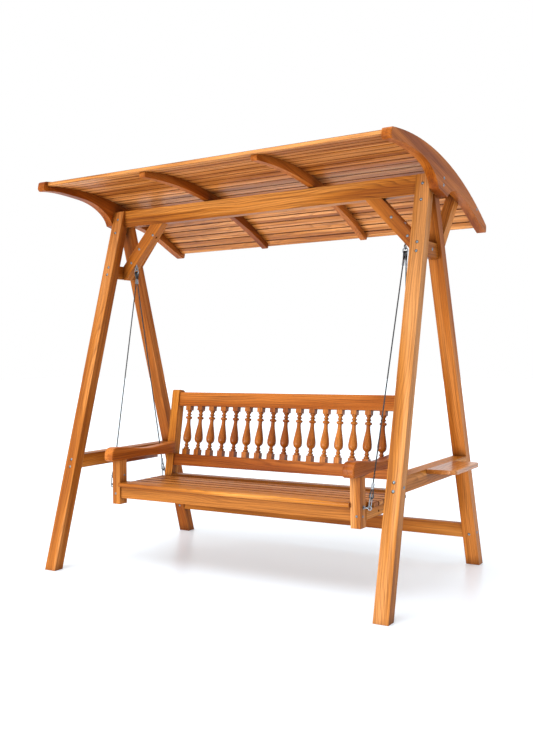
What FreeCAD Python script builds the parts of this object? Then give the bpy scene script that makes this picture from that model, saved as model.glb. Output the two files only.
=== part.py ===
"""Wooden porch swing: an A-frame stand with an arched slatted canopy and a hanging bench.

Millimetres. X runs along the bench to the sitter's left hand side as seen from the front (right),
Y runs from the front to the back, Z is up. The origin is on the floor under the middle of the
ridge beam.
"""
import FreeCAD, Part
import math
import os

V = FreeCAD.Vector
os.makedirs("parts", exist_ok=True)

# ---------------------------------------------------------------- stand
LEG_X = 1000.0            # middle of each leg, out from the middle of the swing
LEG_WIDTH = 75.0          # along X
LEG_DEPTH = 58.0          # square to the leg's sloping faces
LEG_TOP = 2081.0
FOOT_Y = 650.0            # outer face of a leg at the floor, out from the ridge
LEG_SLOPE = 0.293         # how far a leg leans in for each millimetre up

BEAM_THICK = 60.0
BEAM_DEPTH = 99.0
BEAM_OVERHANG = 1.0       # past the legs' outer faces

TIE_WIDTH = 40.0
TIE_BOTTOM = 1660.0
TIE_DEPTH = 78.0
TIE_CORNER = 14.0         # chamfer on the lower outer corners

BRACE_ANGLE = 48.2
BRACE_DEPTH = 69.0
BRACE_THICK = 56.0
BRACE_HEEL = 5.0          # the brace's lower end is cut level this far under the tie

STRUT_WIDTH = 55.0
STRUT_DEPTH = 52.0
STRUT_ANGLE = 49.0        # up from level
STRUT_DROP = 292.0        # the strut's upper edge at the leg, under the leg's top

RAIL_BOTTOM = 546.0
RAIL_DEPTH = 75.0

TRAY_FRONT = -171.0
TRAY_REAR = 193.0
TRAY_THICK = 21.0
TRAY_REACH = 145.0        # right tray, out from the leg's outer face
LEDGE_REACH = 75.0        # left tray, in from the leg's inner face
TRAY_CORNER = 30.0

STRETCHER_BOTTOM = 156.0
STRETCHER_DEPTH = 75.0
STRETCHER_THICK = 40.0

# ---------------------------------------------------------------- canopy
CANOPY_TILT = 12.6        # front edge up
ARCH_RADIUS = 2000.0      # top edge of the end boards
CROWN_U = 33.0            # the crown, back from the beam along the tilted chord
CROWN_W = 128.0           # the crown, above the middle of the beam
END_THICK = 48.0
END_FRONT = -645.0
END_REAR = 700.0
END_TIP_FRONT = 58.0      # depth of an end board at its tips
END_TIP_REAR = 46.0
TIP_ROUND = 17.0
ARCH_CREST = 29.0         # highest point of the scooped lower edges
TAB_HALF = 62.0           # half width of the tab that covers the beam's end
TAB_SIDE = 85.0           # half width where the tab meets the scoops

SLAT_COUNT = 21
SLAT_PITCH = 63.7
SLAT_WIDTH = 55.0
SLAT_THICK = 20.0
SLAT_DROP = 6.0           # slats lie this far under the end boards' top edge
SLAT_SHIFT = -8.0         # middle of the row of slats, from the crown

END_SCREW_SLAT = 18       # the slat whose ends are screwed through the end boards

RIB_X = 350.0
RIB_THICK = 36.0
RIB_FRONT = -612.0
RIB_REAR = 655.0
RIB_TIP = 32.0
RIB_DEPTH = 52.0
RIB_ROUND = 13.0

# ---------------------------------------------------------------- bench
POST_X = 752.5
POST_WIDTH = 53.0
POST_DEPTH = 60.0
POST_FRONT = -371.5
POST_BOTTOM = 344.0
ARM_BOTTOM = 592.0        # underside of an arm on its front post

BACK_SLOPE = 0.177        # how far the back leans for each millimetre up
BACK_Y0 = 24.0            # the back posts' front plane, carried down to the floor
BACK_POST_DEPTH = 59.0
BACK_POST_TOP = 972.0
BACK_POST_CAP = 16.0      # rounding on top of the back posts

BACK_RAIL_SETBACK = 8.0
BACK_RAIL_THICK = 38.0
TOP_RAIL_LOW = 873.0
TOP_RAIL_DEPTH = 83.0
LOW_RAIL_LOW = 513.0
LOW_RAIL_DEPTH = 68.0

BALUSTER_COUNT = 16
BALUSTER_PITCH = 87.0
BALUSTER_BLOCK = 35.0     # square blocks at both ends
BALUSTER_LOW_BLOCK = 34.0
BALUSTER_TOP_BLOCK = 26.0
BALUSTER_BELLY = 26.0     # greatest radius of the turned vase
BALUSTER_RING = 20.5      # radius of the ring over the vase
BALUSTER_NECK = 10.0      # least radius

SEAT_TOP = 449.0
SEAT_SLAT_THICK = 23.0
SEAT_SLAT_WIDTH = 53.0
SEAT_SLAT_PITCH = 65.0
SEAT_SLAT_START = -227.0  # front edge of the first full-length slat
SEAT_SLAT_COUNT = 5
REAR_SLAT_RISE = 11.0     # above the slats before it
SHORT_SLAT_FRONT = -292.0
SHORT_SLAT_END = 755.0
SHORT_SLAT_RISE = 7.0     # above the slats behind it
NOSE_FRONT = -388.0
NOSE_REAR = -304.0
NOSE_TOP = 467.0

SEAT_RAIL_BOTTOM = 379.0
SEAT_RAIL_THICK = 38.0
SIDE_RAIL_WIDTH = 44.0
SIDE_RAIL_PROUD = 3.0     # past the posts' outer faces
REAR_RAIL_INSET = 4.0     # behind the front edge of the rear slat
BEARER_X = 255.0
BEARER_THICK = 38.0

ARM_WIDTH = 62.0
ARM_X = 750.0
ARM_FRONT = -440.0
ARM_NOSE = 42.0           # radius of the rounded front end
ARM_CHIN = 18.0           # radius under the front end
ARM_TOP = 668.0
ARM_DIP = 28.0            # how far the top dips behind the front end
ARM_DIP_Y = -115.0
ARM_REAR_FALL = 16.0      # the top's rear end, under the front end
ARM_REAR_DEPTH = 68.0
ARM_SCREW = 35.0          # screw from the back post, under the arm's rear top
ARM_EASE = 7.0

# ---------------------------------------------------------------- hanging gear
HANGER_X = 885.0
HANGER_Y = -16.0
HANGER_Z = 1721.0         # middle of the eye under each brace
HANGER_MAJOR = 10.5       # centre line radius of a hanger's eye
HANGER_WIRE = 3.5
SHANK = 4.0               # radius of the eye bolts' and the bolts' shanks
NUT_RADIUS = 7.5          # over the corners
NUT_HEIGHT = 6.5
WASHER_RADIUS = 9.0
WASHER_THICK = 1.6

TOP_LINK_MAJOR = 13.0     # centre line radius of the links' bows
TOP_LINK_WIRE = 3.0
TOP_LINK_LENGTH = 36.0    # overall

SEAT_LINK_MAJOR = 12.0
SEAT_LINK_WIRE = 2.8
SEAT_LINK_LENGTH = 56.0

SEAT_EYE_MAJOR = 9.0
SEAT_EYE_WIRE = 3.0
SEAT_EYE_COVER = 9.0      # wood left between a shank's tip and the post's inner face
COLLAR_RADIUS = 9.0       # shoulder of a seat eye against its post
COLLAR_THICK = 4.0
SEAT_EYES = {"front": (813.0, -338.0, 442.0), "rear": (796.0, 122.0, 430.0)}   # each eye's middle

ROPE_RADIUS = 3.5
ROPE_OFFSET = 4.7         # the two ropes lie side by side on the top link, the front one inside
LOOP_EASE = 0.1           # between a rope's loop and its thimble
LOOP_REACH = 36.0         # thimble's middle to the ferrule
LOOP_GAP = 0.6            # between the two legs of a loop where they enter the ferrule
THIMBLE_INNER = 5.4
THIMBLE_THICK = 1.2
THIMBLE_WIDE = 6.5
THIMBLE_LEG = 12.0        # straight part of a thimble
FERRULE_LENGTH = 28.0
FERRULE_WIDE = 15.0
FERRULE_THIN = 8.6
FERRULE_ROUND = 3.4

# ---------------------------------------------------------------- bolts
HEAD_RADIUS = 8.0
HEAD_DOME = 3.5
SMALL_HEAD = 6.5
BEAM_BOLTS = [51.0, 136.0]            # through bolts, under the legs' top
FRONT_TIE_BOLTS = [22.0, 67.0]        # above the underside of the tie
REAR_TIE_BOLTS = [37.0]
TIE_BRACE_BOLT = (10.0, 43.0)         # y, and height above the underside of the tie
FRONT_RAIL_BOLTS = [9.0, 49.0]        # above the underside of the side rail
REAR_RAIL_BOLTS = [29.0]
LEG_SIDE_BOLT = (-449.0, 25.0)        # y, and height above the underside of the side rail
STRETCHER_BOLT = (562.0, 31.0)        # y, and height above the underside of the stretcher
STRETCHER_SCREW = 20.0
END_BOLTS = [(19.0, 25.5), (10.0, -11.5)]         # y, and height from the middle of the beam
SEAT_BOLT_RISE = 21.0                 # above the underside of the seat rails
SEAT_BOLT_Y = -344.0
SIDE_RAIL_SCREW = (6.0, 24.0)         # out from the post's middle, above the seat rail's underside
POST_SCREW = (-331.0, 87.0)           # y, and depth under the arm
BRACE_BOLTS = {"left": [(854, 1839), (918, 1758), (747, 1916)], "right": [(816, 1880), (903, 1777)]}
PLUG_HOLE = 7.0           # radius of the open counterbores
BRACE_PLUG_X = 742.0      # counterbore in a brace's underside
RAIL_PLUG_Y = -168.0      # counterbore in a seat side rail

FIT = 0.3                 # running clearance between loose metal pieces
BORE = 0.25               # radial clearance of a bolt in its hole

# ---------------------------------------------------------------- worked out
LEG_HALF = LEG_WIDTH / 2
LEG_INNER = LEG_X - LEG_HALF
LEG_OUTER = LEG_X + LEG_HALF
LEG_LEAN = math.atan(LEG_SLOPE)
LEG_RUN = LEG_DEPTH / math.cos(LEG_LEAN)          # depth of a leg along Y
BEAM_BOTTOM = LEG_TOP - BEAM_DEPTH
BEAM_MID = LEG_TOP - BEAM_DEPTH / 2
BEAM_END = LEG_OUTER + BEAM_OVERHANG
BEAM_HALF = BEAM_THICK / 2
TIE_TOP = TIE_BOTTOM + TIE_DEPTH
TIE_INNER = LEG_X - TIE_WIDTH / 2
RAIL_TOP = RAIL_BOTTOM + RAIL_DEPTH
POST_IN = POST_X - POST_WIDTH / 2
POST_OUT = POST_X + POST_WIDTH / 2
POST_REAR = POST_FRONT + POST_DEPTH
SEAT_UNDER = SEAT_TOP - SEAT_SLAT_THICK
NOSE_UNDER = NOSE_TOP - SEAT_SLAT_THICK
SIDE_RAIL_OUT = POST_OUT + SIDE_RAIL_PROUD
REAR_SLAT_FRONT = SEAT_SLAT_START + SEAT_SLAT_COUNT * SEAT_SLAT_PITCH
REAR_RAIL_FRONT = REAR_SLAT_FRONT + REAR_RAIL_INSET
RAKE = math.atan(BACK_SLOPE)
STRUT_FOOT = LEG_TOP - STRUT_DROP
ARM_REAR_TOP = ARM_TOP - ARM_REAR_FALL
ARM_REAR_LOW = ARM_REAR_TOP - ARM_REAR_DEPTH
LINK_REST = HANGER_Z - HANGER_MAJOR + HANGER_WIRE + TOP_LINK_WIRE + FIT   # a link's bow in its eye
LOOP_RADIUS = THIMBLE_INNER + THIMBLE_THICK + LOOP_EASE + ROPE_RADIUS   # a loop's centre line

SIDES = {"left": -1, "right": 1}
parts = {}


# ---------------------------------------------------------------- shape helpers
def block(x0, x1, y0, y1, z0, z1):
    """A box between two corners given in any order."""
    low = V(min(x0, x1), min(y0, y1), min(z0, z1))
    return Part.makeBox(abs(x1 - x0), abs(y1 - y0), abs(z1 - z0), low)


def slab_yz(points, x0, x1):
    """A flat piece with a straight-sided outline in the Y-Z plane, from x0 to x1."""
    corners = [V(x0, y, z) for y, z in points]
    return Part.Face(Part.makePolygon(corners + corners[:1])).extrude(V(x1 - x0, 0, 0))


def slab_xz(points, y0, y1):
    """A flat piece with a straight-sided outline in the X-Z plane, from y0 to y1."""
    corners = [V(x, y0, z) for x, z in points]
    return Part.Face(Part.makePolygon(corners + corners[:1])).extrude(V(0, y1 - y0, 0))


def spline(points):
    """A smooth edge through the points."""
    curve = Part.BSplineCurve()
    curve.interpolate(points)
    return curve.toShape()


def eased_spline(points, first, last):
    """A smooth edge through the points that starts and ends in the given directions."""
    curve = Part.BSplineCurve()
    curve.interpolate(Points=points, InitialTangent=first, FinalTangent=last)
    return curve.toShape()


def line(a, b):
    return Part.LineSegment(a, b).toShape()


def arc(a, b, c):
    return Part.Arc(a, b, c).toShape()


def prism(edges, sweep):
    """Close the edges into a face and sweep it straight."""
    return Part.Face(Part.Wire(edges)).extrude(sweep)


def mirrored(shape):
    """The same piece on the other side of the swing."""
    return shape.mirror(V(0, 0, 0), V(1, 0, 0))


def on_side(shape, side):
    return shape if side > 0 else mirrored(shape)


def pair(name, make):
    """Make a right-hand piece and its mirror image."""
    for word, side in SIDES.items():
        parts[name + "_" + word] = on_side(make(), side)


def along(point, direction):
    """A placement whose Z axis is the direction, at the point."""
    return FreeCAD.Placement(point, FreeCAD.Rotation(V(0, 0, 1), direction))


def rod(a, b, radius):
    return Part.makeCylinder(radius, (b - a).Length, a, b - a)


def drill(joined, a, b, radius):
    """Bore a straight hole through the named pieces."""
    hole = rod(a, b, radius)
    for name in joined:
        parts[name] = parts[name].cut(hole)


def domed_bolt(seat, way, length, head, through):
    """A turned bolt: a domed head on the seat, a shank along the way, and a flat nut if it goes through."""
    edges = [
        arc(V(0, 0, -HEAD_DOME), V(head * 0.62, 0, -HEAD_DOME * 0.72), V(head, 0, 0)),
        line(V(head, 0, 0), V(SHANK, 0, 0)),
        line(V(SHANK, 0, 0), V(SHANK, 0, length)),
    ]
    end = length
    if through:
        end = length + HEAD_DOME
        edges += [line(V(SHANK, 0, length), V(head, 0, length)),
                  line(V(head, 0, length), V(head - 2, 0, end)),
                  line(V(head - 2, 0, end), V(0, 0, end))]
    else:
        edges.append(line(V(SHANK, 0, length), V(0, 0, length)))
    edges.append(line(V(0, 0, end), V(0, 0, -HEAD_DOME)))
    shape = Part.Face(Part.Wire(edges)).revolve(V(0, 0, 0), V(0, 0, 1), 360)
    shape.Placement = along(seat, way)
    return shape


def bolt(joined, point, way, length, head=HEAD_RADIUS, slope=0.0, through=False):
    """A domed bolt into the named pieces from the point of a face; slope is that face's lean.

    On a leaning face the head sits on a spot-faced flat.
    """
    sunk = head * slope
    seat = point + way * sunk
    reach = length - sunk * (2 if through else 1)
    end = seat + way * reach
    drill(joined, seat, end if through else end + way * BORE, SHANK + BORE)
    if slope:
        drill(joined, seat - way * (2 * sunk + 1), seat, head + BORE)
        if through:
            drill(joined, end, end + way * (2 * sunk + 1), head + BORE)
    return domed_bolt(seat, way, reach, head, through)


def group(name, solids):
    """Several separate solids of one kind in one node."""
    parts[name] = Part.makeCompound(solids)


# ---------------------------------------------------------------- stand pieces
def leg_face(z):
    """How far out from the ridge a leg's outer face is at height z."""
    return FOOT_Y - LEG_SLOPE * z


def leg(end):
    """A leg on the right, leaning in from the front (end -1) or the back (end 1)."""
    outline = [
        (end * leg_face(0), 0),
        (end * leg_face(LEG_TOP), LEG_TOP),
        (end * (leg_face(LEG_TOP) - LEG_RUN), LEG_TOP),
        (end * (leg_face(0) - LEG_RUN), 0),
    ]
    shape = slab_yz(outline, LEG_INNER, LEG_OUTER)
    notch = block(LEG_INNER - 1, LEG_OUTER + 1, end * BEAM_HALF, -end * 200, BEAM_BOTTOM, LEG_TOP + 1)
    return shape.cut(notch)


def tie():
    """The cross piece that joins the two legs of a side under the beam."""
    def reach(z):
        return leg_face(z) - LEG_RUN

    low, high = TIE_BOTTOM, TIE_TOP
    outline = [(-reach(low), low), (reach(low), low), (reach(high), high), (-reach(high), high)]
    shape = slab_yz(outline, TIE_INNER, TIE_INNER + TIE_WIDTH)
    outer_low = [e for e in shape.Edges
                 if abs(e.CenterOfMass.z - low) < 1 and abs(e.CenterOfMass.x - TIE_INNER - TIE_WIDTH) < 1]
    return shape.makeChamfer(TIE_CORNER / 2, outer_low)


def brace_top(x):
    """Height of a brace's upper edge at x."""
    return TIE_TOP + 2 + (TIE_INNER - x) * math.tan(math.radians(BRACE_ANGLE))


def brace_low(x):
    return brace_top(x) - BRACE_DEPTH / math.cos(math.radians(BRACE_ANGLE))


def brace():
    """The diagonal from the tie up to the beam, in the middle plane of the stand."""
    slope = math.tan(math.radians(BRACE_ANGLE))
    heel = TIE_BOTTOM - BRACE_HEEL
    heel_x = TIE_INNER - (heel - brace_low(TIE_INNER)) / slope
    low_x = TIE_INNER - (BEAM_BOTTOM - brace_low(TIE_INNER)) / slope
    high_x = TIE_INNER - (BEAM_BOTTOM - brace_top(TIE_INNER)) / slope
    outline = [(TIE_INNER, heel), (TIE_INNER, brace_top(TIE_INNER)), (high_x, BEAM_BOTTOM),
               (low_x, BEAM_BOTTOM), (heel_x, heel)]
    return slab_xz(outline, -BRACE_THICK / 2, BRACE_THICK / 2)


def strut():
    """The prop from a rear leg out to the back of the canopy's end board."""
    lean = 1 / math.tan(math.radians(STRUT_ANGLE))
    span = STRUT_DEPTH / math.sin(math.radians(STRUT_ANGLE))

    def upper(z):
        return leg_face(STRUT_FOOT) + (z - STRUT_FOOT) * lean

    foot_low = STRUT_FOOT - span / (lean + LEG_SLOPE)
    top = BEAM_MID + CROWN_W + STRUT_DEPTH
    outline = [(leg_face(STRUT_FOOT), STRUT_FOOT), (leg_face(foot_low), foot_low),
               (upper(top) + span, top), (upper(top), top)]
    shape = slab_yz(outline, BEAM_END - STRUT_WIDTH, BEAM_END)
    return shape.common(under_slats(BEAM_END - STRUT_WIDTH - 1, BEAM_END + 1))


def side_rail():
    """The level rail that joins the front and rear legs of a side."""
    def reach(z):
        return leg_face(z) - LEG_RUN

    outline = [(-reach(RAIL_BOTTOM), RAIL_BOTTOM), (reach(RAIL_BOTTOM), RAIL_BOTTOM),
               (reach(RAIL_TOP), RAIL_TOP), (-reach(RAIL_TOP), RAIL_TOP)]
    return slab_yz(outline, LEG_INNER, LEG_OUTER)


def tray(x0, x1, z0):
    """A flat board with its two free corners rounded; x1 is the free edge."""
    shape = block(x0, x1, TRAY_FRONT, TRAY_REAR, z0, z0 + TRAY_THICK)
    free = [e for e in shape.Edges
            if abs(e.CenterOfMass.x - x1) < 0.1 and abs(e.CenterOfMass.z - z0 - TRAY_THICK / 2) < 0.1]
    shape = shape.makeFillet(TRAY_CORNER, free)
    rim = [e for e in shape.Edges if e.CenterOfMass.z > z0 + TRAY_THICK - 0.1
           and abs(e.CenterOfMass.x - x0) > 0.1]
    return shape.makeFillet(2.5, rim)


def make_stand():
    pair("leg_front", lambda: leg(-1))
    pair("leg_rear", lambda: leg(1))
    parts["ridge_beam"] = block(-BEAM_END, BEAM_END, -BEAM_HALF, BEAM_HALF, BEAM_BOTTOM, LEG_TOP)
    pair("tie", tie)
    pair("brace", brace)
    pair("canopy_strut", strut)
    pair("side_rail", side_rail)
    parts["tray_right"] = tray(LEG_OUTER, LEG_OUTER + TRAY_REACH, RAIL_TOP - TRAY_THICK)
    parts["tray_left"] = tray(-LEG_INNER, -LEG_INNER + LEDGE_REACH, RAIL_BOTTOM)
    face = leg_face(STRETCHER_BOTTOM + STRETCHER_DEPTH / 2) - LEG_RUN / 2
    parts["rear_stretcher"] = block(-LEG_INNER, LEG_INNER, face - STRETCHER_THICK / 2,
                                    face + STRETCHER_THICK / 2,
                                    STRETCHER_BOTTOM, STRETCHER_BOTTOM + STRETCHER_DEPTH)


# ---------------------------------------------------------------- canopy pieces
def canopy(u, w, x=0.0):
    """A point of the tilted canopy: u back along its chord, w square to it, from the beam's middle."""
    tilt = math.radians(CANOPY_TILT)
    return V(x, u * math.cos(tilt) + w * math.sin(tilt),
             BEAM_MID - u * math.sin(tilt) + w * math.cos(tilt))


def arch(u, drop=0.0):
    """Height w of an arc that lies drop under the end boards' top edge."""
    radius = ARCH_RADIUS - drop
    return CROWN_W - ARCH_RADIUS + math.sqrt(radius ** 2 - (u - CROWN_U) ** 2)


def canopy_arc(u0, u1, drop, x):
    middle = (u0 + u1) / 2
    return arc(canopy(u0, arch(u0, drop), x), canopy(middle, arch(middle, drop), x),
               canopy(u1, arch(u1, drop), x))


def under_slats(x0, x1):
    """The space under the slats, to trim what reaches up to them."""
    drop = SLAT_DROP + SLAT_THICK
    top = canopy_arc(END_FRONT, END_REAR, drop, x0)
    a = canopy(END_FRONT, arch(END_FRONT, drop), x0)
    b = canopy(END_REAR, arch(END_REAR, drop), x0)
    low = V(0, 0, -900)
    return prism([top, line(b, b + low), line(b + low, a + low), line(a + low, a)], V(x1 - x0, 0, 0))


def end_board():
    """The arched board at an end of the canopy, with the tab that is bolted to the beam's end."""
    x = BEAM_END
    tab = -BEAM_DEPTH / 2
    tab_mid = math.sin(math.radians(CANOPY_TILT)) * BEAM_DEPTH / 2
    front_low = canopy(END_FRONT, arch(END_FRONT) - END_TIP_FRONT, x)
    rear_low = canopy(END_REAR, arch(END_REAR) - END_TIP_REAR, x)
    front_tab = canopy(tab_mid - TAB_HALF, tab, x)
    rear_tab = canopy(tab_mid + TAB_HALF, tab, x)
    side = (ARCH_CREST + tab) / 2
    front_scoop = [front_low, canopy(-520, -8, x), canopy(-385, 16, x), canopy(-250, ARCH_CREST, x),
                   canopy(-150, 15, x), canopy(tab_mid - TAB_SIDE, side - 12, x), front_tab]
    rear_scoop = [rear_tab, canopy(tab_mid + TAB_SIDE, side - 12, x), canopy(155, 16, x),
                  canopy(250, ARCH_CREST, x), canopy(390, 23, x), canopy(520, 0, x), rear_low]
    edges = [
        canopy_arc(END_FRONT, END_REAR, 0.0, x),
        line(canopy(END_REAR, arch(END_REAR), x), rear_low),
        spline(rear_scoop),
        line(rear_tab, front_tab),
        spline(front_scoop),
        line(front_low, canopy(END_FRONT, arch(END_FRONT), x)),
    ]
    shape = prism(Part.__sortEdges__(edges), V(END_THICK, 0, 0))
    tips = [e for e in shape.Edges if e.Length < END_THICK + 0.1 and abs(e.CenterOfMass.y) > 500
            and abs(e.CenterOfMass.x - x - END_THICK / 2) < 0.1]
    return shape.makeFillet(TIP_ROUND, tips)


def rib(x):
    """A rib under the slats, notched over the beam."""
    x0 = x - RIB_THICK / 2
    drop = SLAT_DROP + SLAT_THICK
    front_low = canopy(RIB_FRONT, arch(RIB_FRONT, drop) - RIB_TIP, x0)
    rear_low = canopy(RIB_REAR, arch(RIB_REAR, drop) - RIB_TIP, x0)
    edges = [
        canopy_arc(RIB_FRONT, RIB_REAR, drop, x0),
        line(canopy(RIB_REAR, arch(RIB_REAR, drop), x0), rear_low),
        arc(rear_low, canopy(0, arch(0, drop) - RIB_DEPTH, x0), front_low),
        line(front_low, canopy(RIB_FRONT, arch(RIB_FRONT, drop), x0)),
    ]
    shape = prism(Part.__sortEdges__(edges), V(RIB_THICK, 0, 0))
    lower = [e for e in shape.Edges if abs(e.Length - RIB_THICK) < 0.1
             and (e.CenterOfMass - V(x, front_low.y, front_low.z)).Length < 1]
    lower += [e for e in shape.Edges if abs(e.Length - RIB_THICK) < 0.1
              and (e.CenterOfMass - V(x, rear_low.y, rear_low.z)).Length < 1]
    return shape.makeFillet(RIB_ROUND, lower).cut(parts["ridge_beam"])


def slat_placement(k):
    """Where slat k lies: its top middle on the arc, turned with it."""
    middle = (SLAT_COUNT - 1) / 2
    turn = ((k - middle) * SLAT_PITCH + SLAT_SHIFT) / ARCH_RADIUS
    radius = ARCH_RADIUS - SLAT_DROP
    at = canopy(CROWN_U + radius * math.sin(turn), CROWN_W - ARCH_RADIUS + radius * math.cos(turn))
    tilt = math.degrees(turn) + CANOPY_TILT
    return FreeCAD.Placement(at, FreeCAD.Rotation(V(1, 0, 0), -tilt))


def canopy_slat(k):
    """Slat k, counted from the front, laid square to the arc."""
    shape = block(-BEAM_END, BEAM_END, -SLAT_WIDTH / 2, SLAT_WIDTH / 2, -SLAT_THICK, 0)
    shape.Placement = slat_placement(k)
    return shape


def make_canopy():
    pair("canopy_end", end_board)
    parts["canopy_rib_left"] = rib(-RIB_X)
    parts["canopy_rib_right"] = rib(RIB_X)
    half = SLAT_COUNT // 2
    group("canopy_slats_front", [canopy_slat(k) for k in range(half)])
    group("canopy_slats_rear", [canopy_slat(k) for k in range(half, SLAT_COUNT)])


# ---------------------------------------------------------------- bench pieces
def back_face(z):
    """Y of the back posts' front plane at height z."""
    return BACK_Y0 + BACK_SLOPE * z


def back_point(z, depth, x=0.0):
    """A point at height z on the back's front plane, pushed depth into the back."""
    return V(x, back_face(z) + depth * math.cos(RAKE), z - depth * math.sin(RAKE))


def leaning(z0, z1, d0, d1, x0, x1):
    """A square-edged piece of the leaning back, between heights z0 and z1 of its front plane."""
    corners = [back_point(z0, d0, x0), back_point(z1, d0, x0), back_point(z1, d1, x0), back_point(z0, d1, x0)]
    return Part.Face(Part.makePolygon(corners + corners[:1])).extrude(V(x1 - x0, 0, 0))


def front_post():
    return block(POST_IN, POST_OUT, POST_FRONT, POST_REAR, POST_BOTTOM, ARM_BOTTOM)


def back_post():
    shape = leaning(POST_BOTTOM - 30, BACK_POST_TOP, 0, BACK_POST_DEPTH, POST_IN, POST_OUT)
    shape = shape.cut(block(POST_IN - 1, POST_OUT + 1, -200, 400, 0, POST_BOTTOM))
    highest = shape.BoundBox.ZMax - BACK_POST_DEPTH * math.sin(RAKE) - 1
    top = [e for e in shape.Edges if e.CenterOfMass.z > highest
           and abs(e.CenterOfMass.x - POST_X) < 0.1]
    return shape.makeFillet(BACK_POST_CAP, top)


def arm():
    """A shaped armrest: rounded nose, dipped top, butted against the back post."""
    x0 = ARM_X - ARM_WIDTH / 2
    rear_top = V(x0, back_face(ARM_REAR_TOP), ARM_REAR_TOP)
    rear_low = V(x0, back_face(ARM_REAR_LOW), ARM_REAR_LOW)
    nose = V(x0, ARM_FRONT, ARM_TOP - ARM_NOSE)
    shoulder = V(x0, ARM_FRONT + ARM_NOSE, ARM_TOP)
    knee = 1 - math.sqrt(0.5)
    crest = V(x0, ARM_FRONT + ARM_NOSE * knee, ARM_TOP - ARM_NOSE * knee)
    chin = V(x0, ARM_FRONT, ARM_BOTTOM + ARM_CHIN)
    jaw = V(x0, ARM_FRONT + ARM_CHIN * knee, ARM_BOTTOM + ARM_CHIN * knee)
    throat = V(x0, ARM_FRONT + ARM_CHIN, ARM_BOTTOM)
    post_edge = V(x0, POST_REAR, ARM_BOTTOM)
    edges = [
        arc(throat, jaw, chin),
        line(chin, nose),
        arc(nose, crest, shoulder),
        eased_spline([shoulder, V(x0, -310, ARM_TOP - ARM_DIP * 0.2), V(x0, -210, ARM_TOP - ARM_DIP * 0.7),
                      V(x0, ARM_DIP_Y, ARM_TOP - ARM_DIP), V(x0, 0, ARM_TOP - ARM_DIP * 0.9), rear_top],
                     V(0, 1, 0), V(0, 1, 0.08)),
        line(rear_top, rear_low),
        spline([rear_low, V(x0, -30, ARM_BOTTOM - 1), V(x0, -150, ARM_BOTTOM + 6),
                V(x0, -240, ARM_BOTTOM + 7), post_edge]),
        line(post_edge, throat),
    ]
    shape = prism(edges, V(ARM_WIDTH, 0, 0))
    upper = [e for e in shape.Edges if e.BoundBox.XLength < 0.1 and e.CenterOfMass.z > ARM_BOTTOM + ARM_CHIN
             and e.BoundBox.YMax < rear_low.y and e.BoundBox.YLength + e.BoundBox.ZLength > 1]
    upper += [e for e in shape.Edges if e.BoundBox.XLength < 0.1 and e.BoundBox.YMin > shoulder.y - 1
              and e.CenterOfMass.z > ARM_TOP - 2 * ARM_DIP and e.BoundBox.YLength > ARM_NOSE]
    return shape.makeFillet(ARM_EASE, upper)


def seat_slat(front, width, top, half_length):
    return block(-half_length, half_length, front, front + width, top - SEAT_SLAT_THICK, top)


def front_slat():
    """The wide slat at the front, with a rounded nose."""
    shape = seat_slat(NOSE_FRONT, NOSE_REAR - NOSE_FRONT, NOSE_TOP, POST_IN)
    nose = [e for e in shape.Edges if abs(e.CenterOfMass.y - NOSE_FRONT) < 0.1 and e.Length > POST_IN]
    return shape.makeFillet(SEAT_SLAT_THICK * 0.4, nose)


def bench_side_rail():
    """The rail on each end that carries the slats' ends and the rope eyes."""
    outline = [(POST_REAR, SEAT_RAIL_BOTTOM), (back_face(SEAT_RAIL_BOTTOM), SEAT_RAIL_BOTTOM),
               (back_face(SEAT_UNDER), SEAT_UNDER), (POST_REAR, SEAT_UNDER)]
    return slab_yz(outline, SIDE_RAIL_OUT - SIDE_RAIL_WIDTH, SIDE_RAIL_OUT)


def bearer():
    """A rail from front to back under the slats, stepped up to the two front ones."""
    front = POST_FRONT + BACK_RAIL_SETBACK + SEAT_RAIL_THICK
    short_rear = SHORT_SLAT_FRONT + SEAT_SLAT_WIDTH
    outline = [
        (front, SEAT_RAIL_BOTTOM), (REAR_RAIL_FRONT, SEAT_RAIL_BOTTOM), (REAR_RAIL_FRONT, SEAT_UNDER),
        (short_rear + 2, SEAT_UNDER), (short_rear + 2, SEAT_UNDER + SHORT_SLAT_RISE),
        (NOSE_REAR + 2, SEAT_UNDER + SHORT_SLAT_RISE), (NOSE_REAR + 2, NOSE_UNDER), (front, NOSE_UNDER),
    ]
    return slab_yz(outline, BEARER_X - BEARER_THICK / 2, BEARER_X + BEARER_THICK / 2)


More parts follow.
